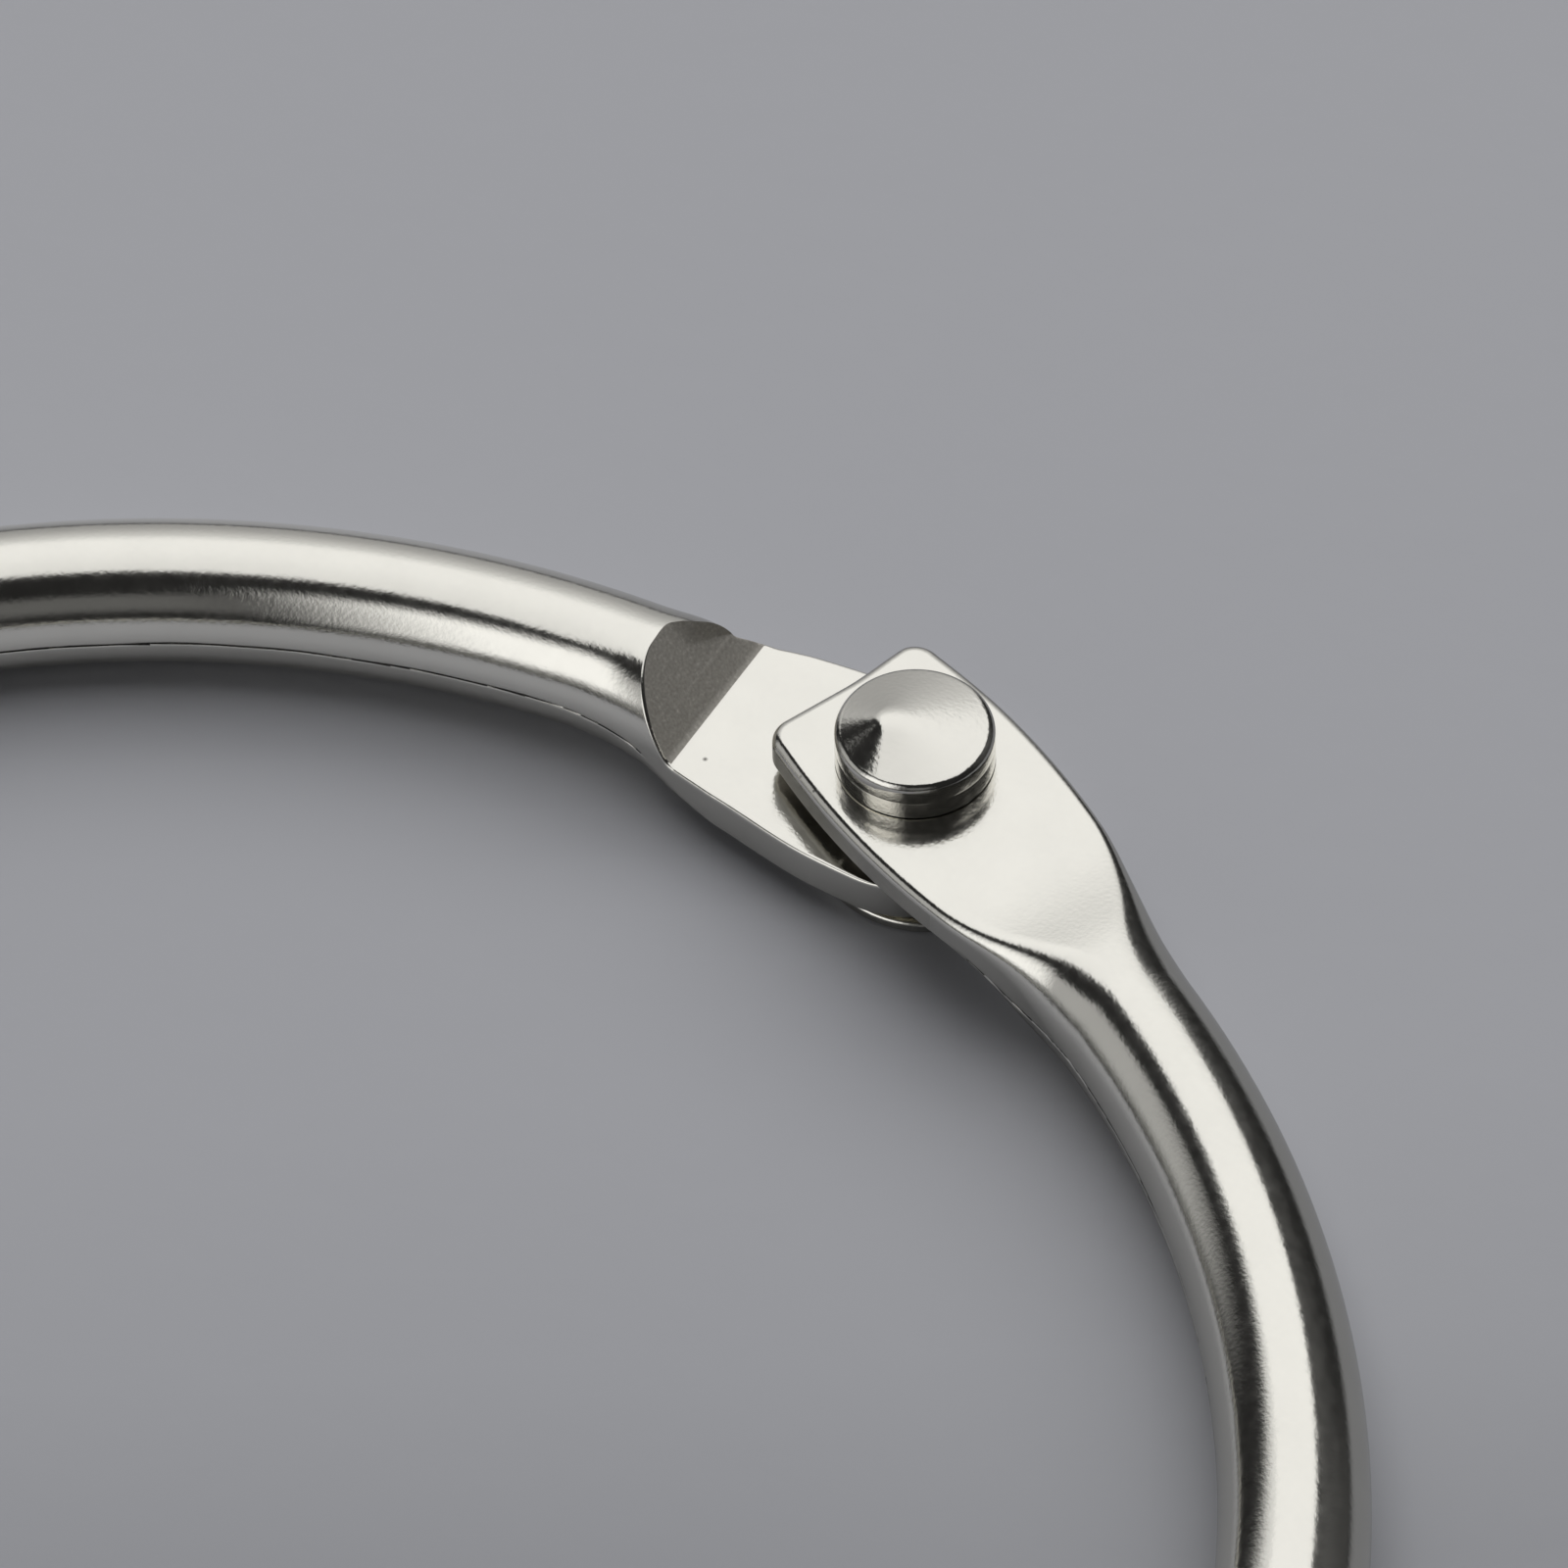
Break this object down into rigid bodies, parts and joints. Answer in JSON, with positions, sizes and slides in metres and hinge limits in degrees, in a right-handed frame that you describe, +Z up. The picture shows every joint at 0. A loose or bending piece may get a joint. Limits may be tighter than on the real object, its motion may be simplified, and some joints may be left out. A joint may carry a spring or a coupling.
{
  "type": "binder ring",
  "caption": "Hinged loose-leaf binder ring of bright plated round wire, with flattened ends riveted into a hinge and a ball-and-socket snap clasp opposite it.",
  "frame": {"origin": "centre of the ring's loop, on the surface that the ring lies on", "axes": "+Z up through the loop, +Y from the loop's centre to the hinge, +X towards the half with the ball"},
  "size_m": [0.05, 0.0515, 0.0041],
  "materials": {
    "plated_wire": "bright nickel plate over steel, faintly grainy",
    "plated_rivet": "bright nickel plate over steel, faintly grainy"
  },
  "bodies": {
    "socket_side": {"socket_half": "plated_wire", "hinge_rivet": "plated_rivet"},
    "ball_side": {"ball_half": "plated_wire"}
  },
  "joints": [
    {"name": "hinge_open", "type": "hinge", "parent": "socket_side", "child": "ball_side", "pos_m": [0, 0.024, 0], "axis": [0, 0, 1], "range_deg": [0, 150]}
  ]
}
